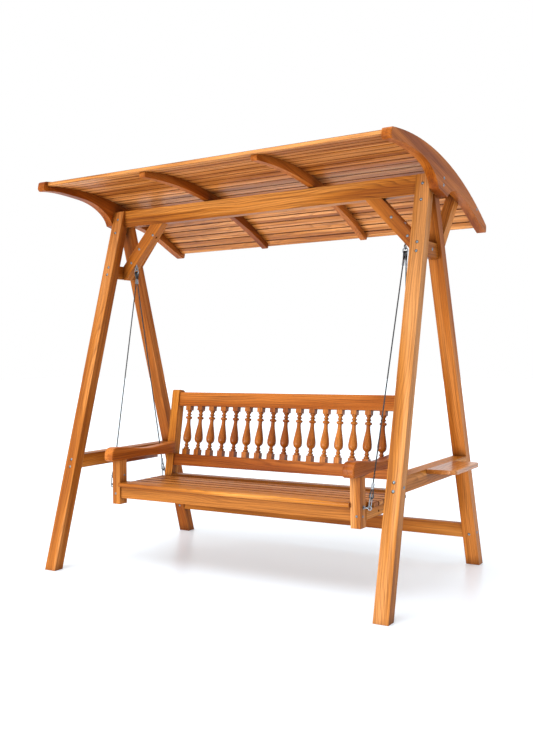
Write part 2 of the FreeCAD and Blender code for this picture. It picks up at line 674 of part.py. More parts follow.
def baluster(k):
    """Turned baluster k: square blocks, beads, a slim neck and a vase that swells low down."""
    rail = LOW_RAIL_LOW + LOW_RAIL_DEPTH
    length = (TOP_RAIL_LOW - rail) / math.cos(RAKE)
    half = BALUSTER_BLOCK / 2
    base = Part.makeBox(BALUSTER_BLOCK, BALUSTER_BLOCK, BALUSTER_LOW_BLOCK, V(-half, -half, 0))
    head = Part.makeBox(BALUSTER_BLOCK, BALUSTER_BLOCK, BALUSTER_TOP_BLOCK,
                        V(-half, -half, length - BALUSTER_TOP_BLOCK))
    z0 = BALUSTER_LOW_BLOCK
    z1 = length - BALUSTER_TOP_BLOCK
    neck, belly, ring = BALUSTER_NECK, BALUSTER_BELLY, BALUSTER_RING
    vase = z0 + 40
    low = z1 - 54
    top = low + 16
    edges = [
        line(V(0, 0, z0), V(14, 0, z0)),
        arc(V(14, 0, z0), V(17, 0, z0 + 6), V(13, 0, z0 + 12)),
        arc(V(13, 0, z0 + 12), V(neck, 0, z0 + 15), V(11, 0, z0 + 18)),
        arc(V(11, 0, z0 + 18), V(14, 0, z0 + 23), V(11, 0, z0 + 28)),
        arc(V(11, 0, z0 + 28), V(neck, 0, z0 + 34), V(12.5, 0, vase)),
        spline([V(12.5, 0, vase), V(belly * 0.83, 0, vase + 8), V(belly, 0, vase + 26),
                V(belly * 0.92, 0, vase + 50), V(belly * 0.68, 0, vase + 86), V(12, 0, vase + 120),
                V(12, 0, low)]),
        arc(V(12, 0, low), V(ring, 0, low + 8), V(12, 0, top)),
        arc(V(12, 0, top), V(neck, 0, top + 4), V(12, 0, top + 8)),
        arc(V(12, 0, top + 8), V(15.5, 0, top + 12), V(12, 0, top + 16)),
        arc(V(12, 0, top + 16), V(neck, 0, top + 22), V(13, 0, top + 28)),
        arc(V(13, 0, top + 28), V(16.5, 0, top + 33), V(14, 0, z1)),
        line(V(14, 0, z1), V(0, 0, z1)),
        line(V(0, 0, z1), V(0, 0, z0)),
    ]
    turned = Part.Face(Part.Wire(edges)).revolve(V(0, 0, 0), V(0, 0, 1), 360)
    shape = base.fuse([turned, head]).removeSplitter()
    x = (k - (BALUSTER_COUNT - 1) / 2) * BALUSTER_PITCH
    foot = back_point(rail, BACK_RAIL_SETBACK + BACK_RAIL_THICK / 2, x)
    shape.Placement = FreeCAD.Placement(foot, FreeCAD.Rotation(V(1, 0, 0), -math.degrees(RAKE)))
    return shape


def make_bench():
    pair("front_post", front_post)
    pair("back_post", back_post)
    pair("armrest", arm)
    pair("seat_side_rail", bench_side_rail)
    pair("seat_bearer", bearer)
    rail_front = POST_FRONT + BACK_RAIL_SETBACK
    parts["seat_front_rail"] = block(-POST_IN, POST_IN, rail_front, rail_front + SEAT_RAIL_THICK,
                                     SEAT_RAIL_BOTTOM, NOSE_UNDER)
    parts["seat_rear_rail"] = block(-POST_IN, POST_IN, REAR_RAIL_FRONT, REAR_RAIL_FRONT + SEAT_RAIL_THICK,
                                    SEAT_RAIL_BOTTOM, SEAT_UNDER + REAR_SLAT_RISE)
    d0 = BACK_RAIL_SETBACK
    d1 = d0 + BACK_RAIL_THICK
    parts["back_top_rail"] = leaning(TOP_RAIL_LOW, TOP_RAIL_LOW + TOP_RAIL_DEPTH, d0, d1, -POST_IN, POST_IN)
    parts["back_lower_rail"] = leaning(LOW_RAIL_LOW, LOW_RAIL_LOW + LOW_RAIL_DEPTH, d0, d1, -POST_IN, POST_IN)
    parts["seat_slat_front"] = front_slat()
    parts["seat_slat_short"] = seat_slat(SHORT_SLAT_FRONT, SEAT_SLAT_WIDTH, SEAT_TOP + SHORT_SLAT_RISE,
                                         SHORT_SLAT_END)
    parts["seat_slat_rear"] = seat_slat(REAR_SLAT_FRONT, SEAT_SLAT_WIDTH, SEAT_TOP + REAR_SLAT_RISE, POST_IN)
    group("seat_slats", [seat_slat(SEAT_SLAT_START + k * SEAT_SLAT_PITCH, SEAT_SLAT_WIDTH, SEAT_TOP,
                                   SIDE_RAIL_OUT) for k in range(SEAT_SLAT_COUNT)])
    group("balusters", [baluster(k) for k in range(BALUSTER_COUNT)])


# ---------------------------------------------------------------- bolts
def make_bolts():
    """Bolts of the stand and of the bench, each with its bore in the pieces it joins."""
    beam, ties, braces, rails, caps, bench = [], [], [], [], [], []
    into, back, outward = V(0, 1, 0), V(0, -1, 0), V(1, 0, 0)
    for word, side in SIDES.items():
        front_leg, rear_leg = "leg_front_" + word, "leg_rear_" + word
        tie_name, brace_name, rail_name = "tie_" + word, "brace_" + word, "side_rail_" + word
        middle = side * LEG_X
        inward = outward * -side
        for z in [LEG_TOP - drop for drop in BEAM_BOLTS]:
            beam.append(bolt([front_leg, rear_leg, "ridge_beam"], V(middle, -leg_face(z), z), into,
                             2 * leg_face(z), slope=LEG_SLOPE, through=True))
        for z in [TIE_BOTTOM + rise for rise in FRONT_TIE_BOLTS]:
            ties.append(bolt([front_leg, tie_name], V(middle, -leg_face(z), z), into, LEG_RUN + 45,
                             slope=LEG_SLOPE))
        for z in [TIE_BOTTOM + rise for rise in REAR_TIE_BOLTS]:
            ties.append(bolt([rear_leg, tie_name], V(middle, leg_face(z), z), back, LEG_RUN + 45,
                             slope=LEG_SLOPE))
        y, rise = TIE_BRACE_BOLT
        ties.append(bolt([tie_name, brace_name], V(side * (LEG_X + TIE_WIDTH / 2), y, TIE_BOTTOM + rise),
                         inward, TIE_WIDTH + 42))
        for x, z in BRACE_BOLTS[word]:
            braces.append(bolt([brace_name], V(side * x, -BRACE_THICK / 2, z), into, 20))
        for z in [RAIL_BOTTOM + rise for rise in FRONT_RAIL_BOLTS]:
            rails.append(bolt([front_leg, rail_name], V(middle, -leg_face(z), z), into, LEG_RUN + 50,
                              slope=LEG_SLOPE))
        for z in [RAIL_BOTTOM + rise for rise in REAR_RAIL_BOLTS]:
            rails.append(bolt([rear_leg, rail_name], V(middle, leg_face(z), z), back, LEG_RUN + 50,
                              slope=LEG_SLOPE))
        y, rise = LEG_SIDE_BOLT
        rails.append(bolt([front_leg], V(side * LEG_OUTER, y, RAIL_BOTTOM + rise), inward, 60))
        y, rise = STRETCHER_BOLT
        rails.append(bolt([rear_leg, "rear_stretcher"], V(side * LEG_OUTER, y, STRETCHER_BOTTOM + rise),
                          inward, LEG_WIDTH + 50))
        z = STRETCHER_BOTTOM + STRETCHER_SCREW
        rails.append(bolt([rear_leg], V(middle, leg_face(z) - LEG_RUN, z), into, 15, slope=LEG_SLOPE))
        end_name = "canopy_end_" + word
        face = side * (BEAM_END + END_THICK)
        for y, rise in END_BOLTS:
            caps.append(bolt([end_name, "ridge_beam"], V(face, y, BEAM_MID + rise), inward, END_THICK + 34))
        screw = slat_placement(END_SCREW_SLAT).multVec(V(0, 0, -SLAT_THICK / 2))
        caps.append(bolt([end_name, "canopy_slats_rear"], V(face, screw.y, screw.z), inward,
                         END_THICK + 40))
        bench += bench_bolts(word, side, inward)
    group("beam_bolts", beam)
    group("tie_bolts", ties)
    group("brace_bolts", braces)
    group("rail_bolts", rails)
    group("canopy_bolts", caps)
    group("bench_bolts", bench)


def bench_bolts(word, side, inward):
    """Smaller bolts at the bench's joints on one side."""
    post, back_leg = "front_post_" + word, "back_post_" + word
    seat_bolt = SEAT_RAIL_BOTTOM + SEAT_BOLT_RISE
    found = []
    found.append(bolt([post, "seat_front_rail"], V(side * POST_OUT, SEAT_BOLT_Y, seat_bolt), inward,
                      POST_WIDTH + 40, head=SMALL_HEAD))
    x, rise = SIDE_RAIL_SCREW
    found.append(bolt([post, "seat_side_rail_" + word],
                      V(side * (POST_X + x), POST_FRONT, SEAT_RAIL_BOTTOM + rise), V(0, 1, 0),
                      POST_DEPTH + 35, head=SMALL_HEAD))
    found.append(bolt([back_leg, "seat_rear_rail"],
                      V(side * POST_OUT, REAR_RAIL_FRONT + SEAT_RAIL_THICK / 2, seat_bolt), inward,
                      POST_WIDTH + 40, head=SMALL_HEAD))
    for z in (LOW_RAIL_LOW + LOW_RAIL_DEPTH / 2, TOP_RAIL_LOW + TOP_RAIL_DEPTH / 2):
        rail = "back_lower_rail" if z < ARM_BOTTOM else "back_top_rail"
        at = back_point(z, BACK_RAIL_SETBACK + BACK_RAIL_THICK / 2, side * POST_OUT)
        found.append(bolt([back_leg, rail], at, inward, POST_WIDTH + 40, head=SMALL_HEAD))
    y, drop = POST_SCREW
    found.append(bolt([post], V(side * POST_IN, y, ARM_BOTTOM - drop), inward * -1, 30, head=SMALL_HEAD))
    screw = ARM_REAR_TOP - ARM_SCREW
    found.append(bolt(["armrest_" + word, back_leg],
                      V(side * POST_X, back_face(screw) + BACK_POST_DEPTH / math.cos(RAKE), screw),
                      V(0, -1, 0), 100, head=SMALL_HEAD, slope=BACK_SLOPE))
    return found


# ---------------------------------------------------------------- hanging gear
def oval_link(low, high, across, major, wire):
    """A closed link between the middles of its two bows; across is its wide direction."""
    up = high - low
    up.normalize()
    a = low + up * major
    b = high - up * major
    side = across * major
    edges = [arc(a + side, low, a - side), line(a - side, b - side), arc(b - side, high, b + side),
             line(b + side, a + side)]
    section = Part.Wire(Part.Circle(a + side, up, wire).toShape())
    return Part.Wire(edges).makePipeShell([section], True, False)


def bow_rise(major, wire, edge):
    """How far the inside of a link's bow has risen at the edge of what lies in it."""
    return major - math.sqrt((major - wire) ** 2 - edge ** 2)


def loop_line(centre, away, flat):
    """Where a loop starts at the ferrule, and where its straight leg meets the round."""
    half = ROPE_RADIUS + LOOP_GAP / 2
    start = centre + away * LOOP_REACH + flat * half
    turn = math.atan2(half, LOOP_REACH) + math.acos(LOOP_RADIUS / math.hypot(LOOP_REACH, half))
    return start, away * math.cos(turn) + flat * math.sin(turn)


def rope_loop(centre, away, flat):
    """The rope's eye: two legs from the ferrule and the round between them."""
    start, right = loop_line(centre, away, flat)
    end, left = loop_line(centre, away, flat * -1)
    a = centre + right * LOOP_RADIUS
    b = centre + left * LOOP_RADIUS
    edges = [line(start, a), arc(a, centre - away * LOOP_RADIUS, b), line(b, end)]
    section = Part.Wire(Part.Circle(start, a - start, ROPE_RADIUS).toShape())
    return Part.Wire(edges).makePipeShell([section], True, False)


def thimble(centre, away, flat, across):
    """The bent metal strip that lines a rope's eye."""
    start, right = loop_line(centre, away, flat)
    end, left = loop_line(centre, away, flat * -1)
    first = start - (centre + right * LOOP_RADIUS)
    last = end - (centre + left * LOOP_RADIUS)
    first.normalize()
    last.normalize()
    inner, outer = THIMBLE_INNER, THIMBLE_INNER + THIMBLE_THICK
    shift = across * (-THIMBLE_WIDE / 2)
    middle = centre + shift
    o1, i1 = middle + right * outer, middle + right * inner
    o2, i2 = middle + left * outer, middle + left * inner
    o0, i0 = o1 + first * THIMBLE_LEG, i1 + first * THIMBLE_LEG
    o3, i3 = o2 + last * THIMBLE_LEG, i2 + last * THIMBLE_LEG
    edges = [line(o0, o1), arc(o1, middle - away * outer, o2), line(o2, o3), line(o3, i3),
             line(i3, i2), arc(i2, middle - away * inner, i1), line(i1, i0), line(i0, o0)]
    return prism(edges, across * THIMBLE_WIDE)


def ferrule(foot, away, across):
    """A pressed sleeve that closes a rope's eye, standing on the foot."""
    shape = Part.makeBox(FERRULE_THIN, FERRULE_WIDE, FERRULE_LENGTH,
                         V(-FERRULE_THIN / 2, -FERRULE_WIDE / 2, 0))
    long_edges = [e for e in shape.Edges if abs(e.Length - FERRULE_LENGTH) < 0.01]
    shape = shape.makeFillet(FERRULE_ROUND, long_edges)
    turn = FreeCAD.Rotation(across, away.cross(across), away, "ZXY")
    shape.Placement = FreeCAD.Placement(foot, turn)
    return shape


def nut(x, z):
    """A washer and a hexagon nut standing on the washer, on a hanger's axis."""
    corners = [V(x + NUT_RADIUS * math.cos(math.radians(60 * k)),
                 HANGER_Y + NUT_RADIUS * math.sin(math.radians(60 * k)), z + WASHER_THICK) for k in range(7)]
    hexagon = Part.Face(Part.makePolygon(corners)).extrude(V(0, 0, NUT_HEIGHT))
    washer = Part.makeCylinder(WASHER_RADIUS, WASHER_THICK, V(x, HANGER_Y, z))
    return washer.fuse(hexagon).cut(rod(V(x, HANGER_Y, z - 1), V(x, HANGER_Y, z + 20), SHANK + BORE))


def hanger(word, side):
    """The eye bolt that hangs through a brace, with its nut on top."""
    x = side * HANGER_X
    seat = brace_top(HANGER_X + WASHER_RADIUS)
    top = seat + WASHER_THICK + NUT_HEIGHT + 4
    eye = Part.makeTorus(HANGER_MAJOR, HANGER_WIRE, V(x, HANGER_Y, HANGER_Z), V(1, 0, 0))
    shank = rod(V(x, HANGER_Y, HANGER_Z + HANGER_MAJOR), V(x, HANGER_Y, top), SHANK)
    brace_name = ["brace_" + word]
    drill(brace_name, V(x, HANGER_Y, HANGER_Z), V(x, HANGER_Y, top), SHANK + BORE)
    drill(brace_name, V(x, HANGER_Y, seat), V(x, HANGER_Y, seat + 60), WASHER_RADIUS + BORE)
    return eye.fuse(shank).removeSplitter(), nut(x, seat)


def seat_eye(post, side, centre):
    """An eye that stands out from a post of the bench on a screwed shank with a shoulder."""
    out = V(side, 0, 0)
    face = V(side * POST_OUT, centre.y, centre.z)
    tip = V(side * (POST_IN + SEAT_EYE_COVER), centre.y, centre.z)
    ring = Part.makeTorus(SEAT_EYE_MAJOR, SEAT_EYE_WIRE, centre, V(0, 1, 0))
    shank = rod(tip, centre - out * SEAT_EYE_MAJOR, SHANK)
    drill([post], tip - out * BORE, face + out, SHANK + BORE)
    return ring.fuse([shank, rod(face, face + out * COLLAR_THICK, COLLAR_RADIUS)]).removeSplitter()


def square_to(way, direction):
    """The part of a direction that is square to the way."""
    found = direction - way * way.dot(direction)
    found.normalize()
    return found


def make_gear():
    """Eyes, links, ropes and the ropes' ends, from the braces down to the bench."""
    hangers, nuts, top_links, seat_links, seat_eyes = [], [], [], [], []
    loops, thimbles, ferrules = [], [], []
    x_axis, y_axis, up = V(1, 0, 0), V(0, 1, 0), V(0, 0, 1)
    top_rise = bow_rise(TOP_LINK_MAJOR, TOP_LINK_WIRE, ROPE_OFFSET + THIMBLE_WIDE / 2 + FIT)
    seat_rise = bow_rise(SEAT_LINK_MAJOR, SEAT_LINK_WIRE, THIMBLE_WIDE / 2 + FIT)
    reach = LOOP_REACH + FERRULE_LENGTH
    for word, side in SIDES.items():
        eye_bolt, eye_nut = hanger(word, side)
        hangers.append(eye_bolt)
        nuts.append(eye_nut)
        link_top = V(side * HANGER_X, HANGER_Y, LINK_REST)
        link_low = link_top - up * (TOP_LINK_LENGTH - 2 * TOP_LINK_WIRE)
        top_links.append(oval_link(link_low, link_top, x_axis, TOP_LINK_MAJOR, TOP_LINK_WIRE))
        for end, (eye_x, eye_y, eye_z) in SEAT_EYES.items():
            eye = V(side * eye_x, eye_y, eye_z)
            offset = -ROPE_OFFSET if end == "front" else ROPE_OFFSET
            top = link_low + V(side * offset, 0, top_rise + FIT - THIMBLE_INNER)
            way = top - eye
            way.normalize()
            post = ("front_post_" if end == "front" else "back_post_") + word
            seat_eyes.append(seat_eye(post, side, eye))
            across = square_to(way, y_axis)
            bow_low = eye + way * (SEAT_EYE_MAJOR - SEAT_EYE_WIRE - SEAT_LINK_WIRE - FIT)
            bow_high = bow_low + way * (SEAT_LINK_LENGTH - 2 * SEAT_LINK_WIRE)
            seat_links.append(oval_link(bow_low, bow_high, across, SEAT_LINK_MAJOR, SEAT_LINK_WIRE))
            bottom = bow_high - way * (seat_rise + FIT - THIMBLE_INNER)
            for centre, away, wide in ((top, way * -1, square_to(way, x_axis)), (bottom, way, across)):
                flat = way.cross(wide)
                sleeve = ferrule(centre + away * LOOP_REACH, away, wide)
                loops.append(rope_loop(centre, away, flat).cut(sleeve))
                thimbles.append(thimble(centre, away, flat, wide))
                ferrules.append(sleeve)
            parts["rope_" + end + "_" + word] = rod(bottom + way * reach, top - way * reach, ROPE_RADIUS)
            print("rope", word, end, round((top - bottom).Length - 2 * reach, 1))
    group("hanger_eye_bolts", hangers)
    group("hanger_nuts", nuts)
    group("top_links", top_links)
    group("seat_links", seat_links)
    group("seat_eye_bolts", seat_eyes)
    group("rope_eyes", loops)
    group("rope_thimbles", thimbles)
    group("rope_ferrules", ferrules)


make_stand()
make_canopy()
make_bench()
make_bolts()
make_gear()

for word, side in SIDES.items():
    plug_x = side * BRACE_PLUG_X
    plug_low = brace_low(BRACE_PLUG_X)
    drill(["brace_" + word], V(plug_x, 0, plug_low - 12), V(plug_x, 0, plug_low + 25), PLUG_HOLE)
    rail_plug = SEAT_RAIL_BOTTOM + SEAT_BOLT_RISE
    drill(["seat_side_rail_" + word], V(side * SIDE_RAIL_OUT, RAIL_PLUG_Y, rail_plug),
          V(side * (SIDE_RAIL_OUT - 12), RAIL_PLUG_Y, rail_plug), PLUG_HOLE)

for name, shape in parts.items():
    shape.exportStep("parts/" + name + ".step")
print(len(parts), "pieces")
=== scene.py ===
# %% [markdown]
# # A wooden porch swing, finished for the camera
# The joinery already exists as exact solids: an A-frame stand, an arched slatted canopy and a
# hanging bench. This lesson loads them, hangs the bench on laid wire ropes, and gives every board
# oiled teak, every bolt and link zinc, and every rope dull drawn steel. Nothing is moved: the
# solids set the sizes.

# %% Load the solids
import math
import bpy
import bmesh
from mathutils import Matrix, Vector


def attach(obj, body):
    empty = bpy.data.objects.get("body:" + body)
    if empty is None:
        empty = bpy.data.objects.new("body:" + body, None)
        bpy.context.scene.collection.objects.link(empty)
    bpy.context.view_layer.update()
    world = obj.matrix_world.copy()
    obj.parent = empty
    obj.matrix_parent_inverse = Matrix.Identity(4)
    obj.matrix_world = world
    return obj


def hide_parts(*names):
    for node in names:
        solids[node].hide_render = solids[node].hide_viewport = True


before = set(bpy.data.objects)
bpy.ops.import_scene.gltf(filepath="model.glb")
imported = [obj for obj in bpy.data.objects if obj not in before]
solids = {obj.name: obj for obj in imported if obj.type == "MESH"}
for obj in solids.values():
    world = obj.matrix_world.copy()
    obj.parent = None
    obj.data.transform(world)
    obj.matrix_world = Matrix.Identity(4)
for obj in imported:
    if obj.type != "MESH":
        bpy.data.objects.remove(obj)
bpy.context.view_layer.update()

# %% [markdown]
# ## The camera
# A catalogue picture of garden furniture is taken from a little over waist height, turned about
# thirty degrees so that one leg frame shows its depth, with the camera held almost level and the
# lens shifted to keep the legs upright. A shifted lens does that without tilting; tilting would make
# the legs lean together.

# %% Camera
lens = bpy.data.cameras.new("camera")
camera = bpy.data.objects.new("camera", lens)
bpy.context.scene.collection.objects.link(camera)
bpy.context.scene.camera = camera
camera.location = (2.6137, -4.1790, 1.1950)
camera.rotation_euler = (1.5961, 0.0141, 0.5559)
lens.lens = 42.54
lens.shift_x = 0.0038
lens.shift_y = -0.0543
print("lens", lens.lens, "mm")

# %% [markdown]
# ## Wire ropes
# Each corner of the bench hangs on a thin rope of six strands laid round each other. A smooth rod
# would do from far away, but it shines in one hard line where a laid rope sparkles in short
# dashes. So six strands are wound round the rope's middle line. The line itself is a spline through
# the rope's two ends, dead straight because the rope carries the bench.

# %% The rope's middle line
def middle_line(name, route):
    """Points along a smooth line with the route's points as its control points."""
    curve = bpy.data.curves.new(name + "_line", "CURVE")
    curve.dimensions = "3D"
    curve.resolution_u = 24
    spline = curve.splines.new("NURBS")
    spline.points.add(len(route) - 1)
    for point, at in zip(spline.points, route):
        point.co = (*at, 1.0)
    spline.order_u = 3
    spline.use_endpoint_u = True
    holder = bpy.data.objects.new(name + "_line", curve)
    mesh = bpy.data.meshes.new_from_object(holder)
    points = [v.co.copy() for v in mesh.vertices]
    bpy.data.objects.remove(holder)
    bpy.data.curves.remove(curve)
    bpy.data.meshes.remove(mesh)
    return points


ROPE_STEP = 0.004  # metres between the points that the strands follow


def evenly(points, step):
    """The same line with points about a step apart."""
    spaced = [points[0]]
    left = step
    for a, b in zip(points, points[1:]):
        run = (b - a).length
        while run > left:
            a = a.lerp(b, left / run)
            run = (b - a).length
            spaced.append(a.copy())
            left = step
        left -= run
    spaced[-1] = points[-1].copy()
    return spaced


print("strands follow points", ROPE_STEP, "m apart")

# %% Winding strands round the line
ROPE_RADIUS = 0.0035
ROPE_LAY = 0.042  # metres along the rope in which a strand goes once round it
STRANDS = 6
STRAND_SIDES = 8
STRAND_RADIUS = 0.40 * ROPE_RADIUS


def stations(line):
    """At each point: the point, the way ahead, a way across that doesn't twist, the length gone."""
    ahead = (line[1] - line[0]).normalized()
    across = ahead.orthogonal().normalized()
    gone = 0.0
    found = []
    for k, point in enumerate(line):
        onward = (line[min(k + 1, len(line) - 1)] - line[max(k - 1, 0)]).normalized()
        across = ahead.rotation_difference(onward) @ across
        ahead = onward
        found.append((point, ahead, across, gone))
        if k + 1 < len(line):
            gone += (line[k + 1] - point).length
    return found


def strand(mesh, line_stations, start):
    """One strand round the line, closed at both ends; start is where on the turn it begins, 0 to 1."""
    rings = []
    for point, ahead, across, gone in line_stations:
        side = Matrix.Rotation(2 * math.pi * (start + gone / ROPE_LAY), 3, ahead) @ across
        up = ahead.cross(side)
        middle = point + side * (ROPE_RADIUS - STRAND_RADIUS)
        turns = [2 * math.pi * j / STRAND_SIDES for j in range(STRAND_SIDES)]
        rings.append([mesh.verts.new(middle + side * math.cos(turn) * STRAND_RADIUS
                                     + up * math.sin(turn) * STRAND_RADIUS) for turn in turns])
    for a, b in zip(rings, rings[1:]):
        for j in range(STRAND_SIDES):
            k = (j + 1) % STRAND_SIDES
            mesh.faces.new((a[j], a[k], b[k], b[j]))
    mesh.faces.new(rings[0][::-1])
    mesh.faces.new(rings[-1])


def laid_rope(name, line):
    """A mesh of strands wound round the line."""
    mesh = bmesh.new()
    line_stations = stations(line)
    for s in range(STRANDS):
        strand(mesh, line_stations, s / STRANDS)
    data = bpy.data.meshes.new(name)
    mesh.to_mesh(data)
    mesh.free()
    data.shade_smooth()
    piece = bpy.data.objects.new(name, data)
    bpy.context.scene.collection.objects.link(piece)
    return piece


print(STRANDS, "strands of", round(STRAND_RADIUS * 1000, 2), "mm radius")

# %% The four ropes
ROPE_ENDS = {
    "front": ((0.81920, -0.30833, 0.55696), (0.87696, -0.03197, 1.62766)),
    "rear": ((0.80477, 0.10909, 0.54786), (0.88498, -0.00905, 1.62610)),
}
SIDES = {"left": -1, "right": 1}
ALONG = (0.35, 0.65)  # where the route's two inner points lie between its ends
ropes = []
for corner, ends in ROPE_ENDS.items():
    for side, sign in SIDES.items():
        name = "rope_" + corner + "_" + side
        low, high = (Vector((sign * x, y, z)) for x, y, z in ends)
        line = middle_line(name, [low, *(low.lerp(high, share) for share in ALONG), high])
        rope = laid_rope(name + "_strands", evenly(line, ROPE_STEP))
        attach(rope, "bench")
        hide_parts(name)
        ropes.append(rope)
        print(name, round((high - low).length, 4), "m,", len(rope.data.vertices), "points")

# %% [markdown]
# ## Helpers for shading
# Light, floor, wood and metal are all made of shader nodes. A few small helpers keep the recipes
# readable: one adds a node, one links sockets, and the rest stand for the sums, masks and mixes
# that come up again and again. Anything that several materials share becomes a node group.

# %% Adding, linking and grouping nodes
def add(tree, kind, operation=None, **values):
    """A node with the given values: sockets by name, other settings as they are."""
    node = tree.nodes.new("ShaderNode" + kind)
    if operation:
        node.operation = operation
    for key, value in values.items():
        if hasattr(node, key):
            setattr(node, key, value)
        else:
            node.inputs[key.replace("_", " ")].default_value = value
    return node


def join(tree, *pairs):
    """Link pairs of sockets."""
    for out_socket, in_socket in pairs:
        tree.links.new(out_socket, in_socket)


def fresh_tree(owner):
    """The empty node tree of a material or a world."""
    owner.use_nodes = True
    owner.node_tree.nodes.clear()
    return owner.node_tree


def new_group(name, inputs, outputs):
    """A node group with named sockets: each is (name, kind) or (name, kind, default)."""
    group = bpy.data.node_groups.new(name, "ShaderNodeTree")
    for label, kind, *default in inputs:
        socket = group.interface.new_socket(label, in_out="INPUT", socket_type="NodeSocket" + kind)
        if default:
            socket.default_value = default[0]
    for label, kind in outputs:
        group.interface.new_socket(label, in_out="OUTPUT", socket_type="NodeSocket" + kind)
    return group, group.nodes.new("NodeGroupInput"), group.nodes.new("NodeGroupOutput")


print("nodes can be added, linked and grouped")

# %% Sums, masks and mixes
def give(tree, socket, value):
    """Set the socket to a number or a colour, or link another socket to it."""
    if isinstance(value, (int, float)):
        socket.default_value = value
    elif isinstance(value, tuple):
        socket.default_value = (*value, 1.0)
    else:
        tree.links.new(value, socket)


def maths(tree, operation, *values):
    """A math node; each value is a socket or a number."""
    node = add(tree, "Math", operation)
    for socket, value in zip(node.inputs, values):
        give(tree, socket, value)
    return node.outputs[0]


def between(tree, value, low, high):
    """0 below low, 1 above high, straight in between."""
    node = add(tree, "MapRange", From_Min=low, From_Max=high)
    join(tree, (value, node.inputs["Value"]))
    return node.outputs["Result"]


MIX_SOCKETS = (0, 6, 7)  # a colour mix's amount, first colour and second colour
MIX_RESULT = 2


def mixed(tree, amount, first, second, blend="MIX"):
    """Mix two colours; each value is a socket or a colour, and the amount a socket or a number."""
    node = add(tree, "Mix", data_type="RGBA", blend_type=blend)
    for place, value in zip(MIX_SOCKETS, (amount, first, second)):
        give(tree, node.inputs[place], value)
    return node.outputs[MIX_RESULT]


def ramp(tree, amount, stops):
    """A colour ramp with (place, colour) stops, read at the amount."""
    node = add(tree, "ValToRGB")
    while len(node.color_ramp.elements) < len(stops):
        node.color_ramp.elements.new(0.5)
    for element, (place, colour) in zip(node.color_ramp.elements, stops):
        element.position = place
        element.color = (*colour, 1.0)
    join(tree, (amount, node.inputs["Fac"]))
    return node


print("sums, masks and mixes ready")

# %% [markdown]
# ## Light
# The swing stands in a white studio. A wide soft light hangs overhead, a low panel lights the front
# faces of the legs and rails, and the surround gives the rest: most from high on the front left,
# least from low on the back right, so that each face of a board has its own tone. A small lamp
# would give hard black shadows; a wide one keeps them as soft as on an overcast day. Straight on, in
# gloss and through clear things the surround is plain white.

# %% Rays that see white
WHITE = (1, 1, 1, 1)


def seeing_rays(tree):
    """1 for rays from the camera, off a shiny surface or through a clear one, otherwise 0."""
    ray = add(tree, "LightPath")
    shiny = maths(tree, "MAXIMUM", ray.outputs["Is Camera Ray"], ray.outputs["Is Glossy Ray"])
    return maths(tree, "MAXIMUM", shiny, ray.outputs["Is Transmission Ray"])


print("white is", WHITE)

# %% Surround
TO_BRIGHTEST = (-0.57, -0.45, 0.69)
DIMMEST, BRIGHTEST = 0.12, 1.25
bpy.context.scene.view_settings.view_transform = "Standard"
bpy.context.scene.world = bpy.data.worlds.new("white studio")
tree = fresh_tree(bpy.context.scene.world)
way = add(tree, "TexCoord")
facing = add(tree, "VectorMath", "DOT_PRODUCT")
facing.inputs[1].default_value = TO_BRIGHTEST
strength = add(tree, "MapRange", From_Min=-1.0, To_Min=DIMMEST, To_Max=BRIGHTEST)
fill = add(tree, "Background", Color=WHITE)
seen = add(tree, "Background", Color=WHITE, Strength=1.0)
chosen = add(tree, "MixShader")
output = add(tree, "OutputWorld")
join(tree, (way.outputs["Generated"], facing.inputs[0]),
     (facing.outputs["Value"], strength.inputs["Value"]),
     (strength.outputs["Result"], fill.inputs["Strength"]), (seeing_rays(tree), chosen.inputs[0]),
     (fill.outputs[0], chosen.inputs[1]), (seen.outputs[0], chosen.inputs[2]),
     (chosen.outputs[0], output.inputs["Surface"]))
print("surround from", DIMMEST, "to", BRIGHTEST)

# %% Lamps
def lamp(name, light, at, towards):
    """Hang a light at a place, shining along the direction."""
    piece = bpy.data.objects.new(name, light)
    bpy.context.scene.collection.objects.link(piece)
    piece.location = at
    piece.rotation_euler = Vector(towards).to_track_quat("-Z", "Y").to_euler()
    print(name, "towards", towards)


overhead = bpy.data.lights.new("overhead", "SUN")
overhead.energy = 2.2
overhead.angle = math.radians(50)
lamp("overhead", overhead, (0, 0, 4), (0.12, 0.30, -0.95))
panel = bpy.data.lights.new("low panel", "AREA")
panel.energy = 75.0
panel.shape = "RECTANGLE"
panel.size = 4.5
panel.size_y = 1.6
panel.color = (1.0, 0.96, 0.91)
panel.spread = math.radians(80)
lamp("low panel", panel, (-2.2, -7.4, 0.7), (0.30, 1.0, -0.06))

# %% [markdown]
# ## Ground
# A pale floor throws light back up under the canopy, and takes the shadows of the legs. So much
# orange wood would tint those shadows, where a studio's paper looks neutral. One paint can't do
# both, so the floor has two: a warm white that lights the swing, and a cooler one with a faint glow
# of its own that is seen.

# %% Floor
FLOOR_REACH = 30.0
FLOOR_DROP = 0.0005  # metres below the feet, so that two faces never lie in one plane
floor_mesh = bpy.data.meshes.new("floor")
corners = [(x * FLOOR_REACH, y * FLOOR_REACH, 0) for x, y in ((-1, -1), (1, -1), (1, 1), (-1, 1))]
floor_mesh.from_pydata(corners, [], [(0, 1, 2, 3)])
floor = bpy.data.objects.new("floor", floor_mesh)
bpy.context.scene.collection.objects.link(floor)
floor.location.z = -FLOOR_DROP
print("floor at", floor.location.z)

